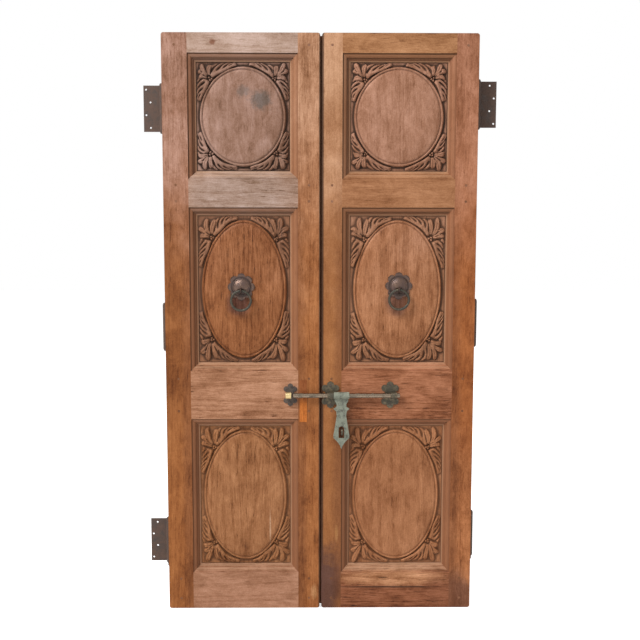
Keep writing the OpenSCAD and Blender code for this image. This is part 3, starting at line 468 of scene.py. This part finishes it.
def spandrelField(u, v, w, h, a, b, rng):
    # height in one corner: the larger of a leaf along the head and one along the side, with four lobes laid
    # over them into the corner and a bud of three beads beside the oval where they start;
    # w and h are half the panel in sight, a and b half the oval
    steps = np.linspace(0.0, 1.0, leaf["spineSteps"])
    phase = rng.uniform(0.0, 6.0, 4)
    waves = leaf["warpWaves"]
    u = u + leaf["warp"] * np.sin(v / waves[0] + phase[0]) * np.sin(u / waves[1] + phase[1])
    v = v + leaf["warp"] * np.sin(u / waves[2] + phase[2]) * np.sin(v / waves[3] + phase[3])
    bow = leaf["spineGap"] + leaf["spineBow"] * np.sin(np.pi * steps)
    spines = []
    for start, end in (leaf["headTurns"], leaf["sideTurns"]):
        turn = np.radians(start + (end - start) * steps)
        spines.append(np.stack([(a + bow) * np.cos(turn), (b + bow) * np.sin(turn)], -1))
    headSpine, sideSpine = spines
    inner = np.full(len(steps), leaf["innerEdge"])
    wide, tall = w - leaf["tipGap"], h - leaf["tipGap"]
    headRoom = np.clip(tall - headSpine[:, 1], leaf["leastWidth"], leaf["width"])
    sideRoom = np.clip(wide - sideSpine[:, 0], leaf["leastWidth"], leaf["width"])
    field = np.maximum(leafField(u, v, headSpine, inner, headRoom, False, True),
                       leafField(u, v, sideSpine, sideRoom, inner, True, False))
    root = np.array((a + leaf["spineGap"], b + leaf["spineGap"])) * math.sqrt(0.5)
    away = np.array((wide, tall)) - root
    away = away / np.hypot(*away)
    for turn, share in zip(lobes["turns"], lobes["lengths"]):
        turn = turn + rng.uniform(-lobes["turnPlay"], lobes["turnPlay"])
        share = share * rng.uniform(lobes["leastLength"], 1.0)
        out = turned(away, turn)
        length = share * min((wide - root[0]) / max(out[0], lobes["leastLean"]),
                             (tall - root[1]) / max(out[1], lobes["leastLean"]))
        lobe = lobeField(u, v, root, out, length, turn)
        over = (lobe > 0.0) & (field < leaf["height"] * lobes["overLeaf"])
        field = np.where(over, np.maximum(lobe, field * lobes["leafLeft"]), field)
    for turn in bud["turns"]:
        bead = root + turned(away, turn) * bud["reach"]
        far = np.hypot(u - bead[0], v - bead[1]) / bud["radius"]
        dome = bud["height"] * np.sqrt(np.clip(1.0 - far ** 2, 0.0, 1.0))
        field = np.where(far < bud["clear"], dome, field)
    return field


def boxBlur(field, cells):
    # mean over a square of cells either way, from running sums along both directions
    for axis in (0, 1):
        padded = np.concatenate([np.repeat(np.take(field, [0], axis), cells + 1, axis), field,
                                 np.repeat(np.take(field, [-1], axis), cells, axis)], axis)
        sums = np.cumsum(padded, axis)
        size = field.shape[axis]
        ends = np.take(sums, np.arange(2 * cells + 1, 2 * cells + 1 + size), axis)
        field = (ends - np.take(sums, np.arange(0, size), axis)) / (2 * cells + 1)
    return field


def carvedField(u, v, w, h, rng):
    # height over the panel's ground: the oval by its section, in each corner the larger of that and the
    # leaves, then wear; with it how hollow each place is against its surroundings plus painted shade at its
    # edges, and 1 inside the oval
    a, b = w - carving["sideMargin"], h - carving["headMargin"]
    ratio = np.hypot(u / a, v / b)
    slope = np.hypot(u / a ** 2, v / b ** 2)
    inward = -ratio * (ratio - 1.0) / np.maximum(slope, 1e-6)
    section = np.array(carving["section"])
    field = np.interp(inward / carving["rimReach"], section[:, 0], section[:, 1] * carving["height"])
    for sideways in (-1, 1):
        for upwards in (-1, 1):
            corner = (u * sideways >= 0.0) & (v * upwards >= 0.0) & (inward < 0.0)
            leaves = spandrelField(np.abs(u[corner]), np.abs(v[corner]), w, h, a, b, rng)
            field[corner] = np.maximum(field[corner], leaves)
    bare, kept = carving["bareEdge"], carving["keptEdge"]
    field[(np.abs(u) > w - bare) | (np.abs(v) > h - bare)] = 0.0
    inSight = (np.abs(u) < w - kept) & (np.abs(v) < h - kept)
    soft = carving["softening"]
    field = np.where(inSight, boxBlur(field, 1) * soft + field * (1.0 - soft), field)
    cells = round(ageingAndShade["blur"] / carving["step"])
    hollow = (boxBlur(boxBlur(field, cells), cells) - field) / ageingAndShade["hollowScale"]
    edge = np.minimum(w - np.abs(u), h - np.abs(v))
    # painted shade along the panel's edges beside the moulding
    hollow = np.maximum(hollow, np.clip(1.0 - edge / ageingAndShade["edgeReach"], 0.0, 1.0) * ageingAndShade["panelEdgeShade"])
    oval = np.clip(inward / ageingAndShade["ovalRim"] + 0.5, 0.0, 1.0)
    hollow = hollow * (1.0 - ageingAndShade["ovalSpared"] * oval) + ageingAndShade["cornerDirt"] * (1.0 - oval)
    chips = boxBlur(rng.normal(0.0, 1.0, field.shape), ageingAndShade["chipCells"]) * ageingAndShade["chips"]
    chips = chips * np.clip(field / leaf["height"], 0.0, 1.0)
    wornAndHighlight = boxBlur(rng.normal(0.0, 1.0, field.shape), ageingAndShade["wearCells"]) * ageingAndShade["wearAndHighlight"]
    wornAndHighlight = wornAndHighlight + np.where(inward < 0.0, chips, 0.0)
    field = np.where(inSight, np.clip(field + wornAndHighlight, 0.0, carving["height"]), field)
    return field, hollow, oval


def carvedPanel(node, body, material, seed):
    # the carved height on a grid across and up the board, closed by the board's edges and its plain back
    low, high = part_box(node)
    middle = middleOf(node)
    w = (high.x - low.x) / 2 - carving["tongue"]
    h = (high.z - low.z) / 2 - carving["tongue"]
    columns, rows = round((high.x - low.x) / carving["step"]), round((high.z - low.z) / carving["step"])
    gridX, gridZ = np.meshgrid(np.linspace(low.x, high.x, columns), np.linspace(low.z, high.z, rows))
    field, hollow, oval = carvedField(gridX - middle.x, gridZ - middle.z, w, h, np.random.default_rng(seed))
    front = np.stack([gridX, carving["ground"] - field, gridZ], -1).reshape(-1, 3)
    index = np.arange(rows * columns).reshape(rows, columns)
    rim = np.concatenate([index[0, :-1], index[:-1, -1], index[-1, :0:-1], index[:0:-1, 0]])
    back = front[rim].copy()
    back[:, 1] = high.y
    centre = np.array([[middle.x, high.y, middle.z]])
    points = np.concatenate([front, back, centre])
    quads = np.stack([index[:-1, :-1], index[:-1, 1:], index[1:, 1:], index[1:, :-1]], -1).reshape(-1, 4)
    count, base = len(rim), len(front)
    near = np.arange(count)
    after = (near + 1) % count
    walls = np.stack([rim[after], rim[near], base + near, base + after], -1)
    fan = np.stack([base + after, base + near, np.full(count, base + count)], -1)
    mesh = bpy.data.meshes.new(node + "_carved")
    mesh.from_pydata(points, [], quads.tolist() + walls.tolist() + fan.tolist())
    smoothFaces = np.zeros(len(mesh.polygons), bool)
    smoothFaces[:len(quads)] = True
    mesh.polygons.foreach_set("use_smooth", smoothFaces)
    for name, share in (("hollow", hollow), ("corner", 1.0 - oval)):
        values = np.zeros(len(points), np.float32)
        values[:base] = share.ravel()
        mesh.attributes.new(name, "FLOAT", "POINT").data.foreach_set("value", values)
    mesh.materials.append(material)
    piece = bpy.data.objects.new(node + "_carved", mesh)
    bpy.context.scene.collection.objects.link(piece)
    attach(piece, body)
    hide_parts(node)
    print(node, "carved,", len(quads), "faces")


ringShade = {"reach": (0.044, 0.052), "tint": "plum", "ragged": 0.3}  # painted shade round and below a knocker's ring
panels = {
    "left_upper_panel": {
        "low": (0.315, 0.170, 0.110), "high": (0.31, 0.170, 0.118),
        "shift": 1.9, "streak": 0.7, "patchy": 1.5, "dirtAndShade": 0.95,
        "marks": (mark((-0.207, 1.822), (0.040, 0.036), 0.78, "ash", 1.1),
                  mark((-0.270, 1.853), (0.026, 0.024), 0.55, "ash", 1.2))},
    "left_middle_panel": {
        "low": (0.245, 0.083, 0.027), "high": (0.30, 0.123, 0.060),
        "shift": 5.6, "streak": 2.2, "patchy": 1.6, "dirtAndShade": 0.75, "dusty": 0.3,
        "marks": (mark((-0.288, 1.118), share=0.75, **ringShade),)},
    "left_lower_panel": {
        "low": (0.328, 0.134, 0.052), "shift": 3.3, "streak": 1.5, "patchy": 1.4, "dirtAndShade": 0.55,
        "marks": (mark((-0.180, 0.290), (0.0028, 0.080), 0.6, "scratch", 0.2),)},
    "right_upper_panel": {
        "low": (0.385, 0.185, 0.109), "high": (0.385, 0.185, 0.111),
        "shift": 8.8, "streak": 0.8, "dirtAndShade": 0.9},
    "right_middle_panel": {
        "low": (0.38, 0.155, 0.067), "high": (0.41, 0.195, 0.115),
        "shift": 7.1, "streak": 1.4, "dirtAndShade": 0.8, "dusty": 0.2,
        "marks": (mark((0.272, 1.118), share=0.7, **ringShade),)},
    "right_lower_panel": {"low": (0.375, 0.152, 0.064), "shift": 9.9, "streak": 1.1, "dirtAndShade": 0.6},
}
for seed, (node, panel) in enumerate(panels.items()):
    finish = wood(node + "_wood", "z", carved=True, **panel)
    carvedPanel(node, node.split("_")[0] + "_leaf", finish, seed)

repair = {"along": "z", "low": (0.52, 0.150, 0.028), "shift": 3.7, "dirtAndShade": 0.2}
browned = {"reach": (0.05, 0.06), "share": 0.7, "tint": "deep"}  # the strip's upper end
brownedBelow = 0.02
brownedAt = (middleOf("left_repair").x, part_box("left_repair")[1].z - brownedBelow)
dress(wood("repair_wood", marks=(mark(brownedAt, **browned),), **repair), "left_repair")
pegs = {"along": "x", "low": (0.21, 0.085, 0.038), "high": (0.25, 0.12, 0.07), "shift": 6.1, "dirtAndShade": 0.2}
dress(wood("peg_wood", **pegs), "left_pegs", "right_pegs")
print("repair and pegs dressed")

# Metals: bare is the worn metal, crust what has grown over it, cover how much of it the crust takes.
# A noise is its detail, roughness and distortion.
metalLook = {"cloud": (5.0, 0.62, 0.3), "grit": (3.0, 0.6), "gritFiner": 9.0,
             "growStart": 0.72, "growEnd": 0.92, "coverShare": 0.5, "cloudGrown": 0.8, "gritGrown": 0.35,
             "cloudShade": 1.1, "gritShade": 0.9, "shadeLift": 0.02, "leastMetal": 0.1,
             "grownMatt": 0.25, "gritMatt": 0.2, "cloudRelief": 0.6, "bumpDepth": 0.0012}

# Dark on a knocker: dirt round its dome and along its petals' edge, and painted shadow below the eye behind
# the ring
knockerDirtAndShadow = {"tone": (0.03, 0.016, 0.012), "share": 0.8, "domeEdge": 0.0335, "domeRange": (0.006, 0.001),
               "petalRange": (0.041, 0.047), "petalShare": 0.8, "below": 0.020, "reach": (0.017, 0.019),
               "ragged": 0.25}


def oldMetal(name, bare, crust, cover, shine, roughness, scale=60.0, pitting=0.5, dome=None):
    # crust grows where the sum of two noises passes a limit that falls as the cover rises;
    # the same noises shade the metal and pit it
    look, dirtAndShade = metalLook, knockerDirtAndShadow
    f = Finish(name)
    cloud = f.noise(f.place, scale, *look["cloud"])
    grit = f.noise(f.place, scale * look["gritFiner"], *look["grit"])
    covered = look["coverShare"] * cover
    grown = f.smooth(look["growStart"] - covered, look["growEnd"] - covered,
                     cloud * look["cloudGrown"] + grit * look["gritGrown"])
    tone = f.blend(grown, bare, crust)
    shade = grit * look["gritShade"] + cloud * look["cloudShade"] + look["shadeLift"]
    tone = f.blend(1.0, tone, shade, "MULTIPLY")
    if dome is not None:
        far = ((f.x - dome.x) ** 2.0 + (f.z - dome.z) ** 2.0) ** 0.5
        ring = f.smooth(*dirtAndShade["domeRange"], abs(far - dirtAndShade["domeEdge"]))
        petals = f.smooth(*dirtAndShade["petalRange"], far) * dirtAndShade["petalShare"]
        # painted shadow of the ring below the eye
        ringShadow = f.patch((dome.x, dome.z - dirtAndShade["below"]), dirtAndShade["reach"], dirtAndShade["ragged"])
        tone = f.blend(ring.most(petals).most(ringShadow) * dirtAndShade["share"], tone, dirtAndShade["tone"])
    return f.coat(Base_Color=tone, Metallic=(1.0 - grown) * shine + look["leastMetal"],
                  Roughness=(grown * look["grownMatt"] + grit * look["gritMatt"] + roughness).held(),
                  Normal=f.bump(grit + cloud * look["cloudRelief"], pitting, look["bumpDepth"]))


sides = ("left", "right")
hingePieces = [f"{side}_{height}_{plate}_plate" for side in sides for height in ("low", "mid", "high")
               for plate in ("jamb", "leaf")]
hingePieces += [f"{side}_{piece}" for side in sides for piece in ("pins", "hinge_screws")]
metals = {
    "hinge_iron": {"bare": (0.085, 0.062, 0.052), "crust": (0.095, 0.056, 0.040), "cover": 0.6,
                   "shine": 0.45, "roughness": 0.38, "scale": 50.0, "pitting": 0.7},
    "keeper_iron": {"bare": (0.06, 0.045, 0.04), "crust": (0.10, 0.075, 0.06), "cover": 0.6,
                    "shine": 0.5, "roughness": 0.45},
    "keeper_brass": {"bare": (0.66, 0.50, 0.24), "crust": (0.40, 0.33, 0.20), "cover": 0.35,
                     "shine": 0.8, "roughness": 0.28},
    "rod_bronze": {"bare": (0.24, 0.185, 0.135), "crust": (0.075, 0.058, 0.036), "cover": 0.38,
                   "shine": 0.9, "roughness": 0.14, "scale": 40.0},
    "guide_bronze": {"bare": (0.17, 0.135, 0.085), "crust": (0.050, 0.042, 0.025), "cover": 0.58,
                     "shine": 0.75, "roughness": 0.24, "scale": 90.0, "pitting": 0.7},
    "hasp_bronze": {"bare": (0.085, 0.085, 0.07), "crust": (0.225, 0.24, 0.185), "cover": 0.66,
                    "shine": 0.4, "roughness": 0.40, "scale": 45.0, "pitting": 0.7},
    "ring_bronze": {"bare": (0.125, 0.10, 0.07), "crust": (0.030, 0.026, 0.016), "cover": 0.6,
                    "shine": 0.85, "roughness": 0.20},
}
metalPieces = {"hinge_iron": hingePieces,
               "keeper_iron": ("keeper_plate", "left_plate_nails", "right_plate_nails"),
               "keeper_brass": ("keeper_tube",), "rod_bronze": ("bolt_rod",),
               "guide_bronze": ("first_guide", "end_guide", "padlock_staple"),
               "hasp_bronze": ("hasp",), "ring_bronze": ("left_ring", "right_ring")}
for name, metal in metals.items():
    dress(oldMetal(name, **metal), *metalPieces[name])
knockerBronze = {"bare": (0.165, 0.104, 0.078), "crust": (0.080, 0.044, 0.034), "cover": 0.48,
                 "shine": 0.8, "roughness": 0.17, "scale": 60.0, "pitting": 0.6}
for side in sides:
    rosette = side + "_rosette"
    dress(oldMetal("knocker_bronze_" + side, dome=middleOf(rosette), **knockerBronze), rosette)
print("metals dressed")

# Studio: a white floor and surroundings, a broad lamp above on the left and a weaker one behind
studio = {"floorSize": 30.0, "floorDrop": 0.001, "floorTone": (0.80, 0.80, 0.80), "floorMatt": 0.9,
          "floorLift": 0.70, "ambient": 0.40,
          "lampPlace": (-4.0, -3.3, 6.0), "lampAim": (0.0, 0.0, 1.0), "lampSize": 3.0, "lampPower": 480.0,
          "fillPlace": (2.6, 4.6, 4.6), "fillPower": 170.0}
reach, drop = studio["floorSize"] / 2, -studio["floorDrop"]
floorMesh = bpy.data.meshes.new("floor")
corners = [(-reach, -reach, drop), (reach, -reach, drop), (reach, reach, drop), (-reach, reach, drop)]
floorMesh.from_pydata(corners, [], [(0, 1, 2, 3)])
floor = bpy.data.objects.new("floor", floorMesh)
bpy.context.scene.collection.objects.link(floor)
floorWhite = Finish("floor_white")
lift = floorWhite.blend(floorWhite.seenWhite(), (0.0, 0.0, 0.0), (studio["floorLift"],) * 3)
floorWhite.coat(Base_Color=studio["floorTone"], Roughness=studio["floorMatt"], Emission_Strength=1.0,
                Emission_Color=lift)
floorMesh.materials.append(floorWhite.material)
floor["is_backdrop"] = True

world = bpy.data.worlds.new("surroundings")
bpy.context.scene.world = world
world.use_nodes = True
sky = Wiring(world.node_tree)
plain = world.node_tree.nodes["Background"]
sky.fill(plain, {"Color": (1.0, 1.0, 1.0), "Strength": studio["ambient"]})
white = sky.node("ShaderNodeBackground", {}, {"Color": (1.0, 1.0, 1.0), "Strength": 1.0})
both = sky.node("ShaderNodeMixShader", {}, {0: sky.seenWhite(), 1: Wire(sky, plain.outputs[0]), 2: white})
sky.fill(world.node_tree.nodes["World Output"], {"Surface": both})

for name, place, power in (("broad_lamp", "lampPlace", "lampPower"), ("fill_lamp", "fillPlace", "fillPower")):
    lampData = bpy.data.lights.new(name, "AREA")
    lampData.shape = "SQUARE"
    lampData.size, lampData.energy = studio["lampSize"], studio[power]
    lamp = bpy.data.objects.new(name, lampData)
    bpy.context.scene.collection.objects.link(lamp)
    lamp.location = studio[place]
    lamp.rotation_euler = (Vector(studio["lampAim"]) - lamp.location).to_track_quat("-Z", "Y").to_euler()
print("studio lit")

# Camera: a little above the middle of the door, looking slightly down; turns in degrees
cameraLook = {"place": (-0.0378, -3.40, 1.4178), "down": 6.113, "turn": 0.636, "roll": 0.08,
              "lens": 53.62, "sensor": 36.0}
cameraData = bpy.data.cameras.new("camera")
cameraData.sensor_width, cameraData.lens = cameraLook["sensor"], cameraLook["lens"]
camera = bpy.data.objects.new("camera", cameraData)
bpy.context.scene.collection.objects.link(camera)
turn, down, roll = (math.radians(cameraLook[key]) for key in ("turn", "down", "roll"))
camera.matrix_world = (Matrix.Translation(cameraLook["place"]) @ Matrix.Rotation(-turn, 4, "Z")
                       @ Matrix.Rotation(math.pi / 2 - down, 4, "X") @ Matrix.Rotation(roll, 4, "Z"))
bpy.context.scene.camera = camera
bpy.context.scene.view_settings.view_transform = "Standard"

low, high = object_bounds()
print("scene ready")
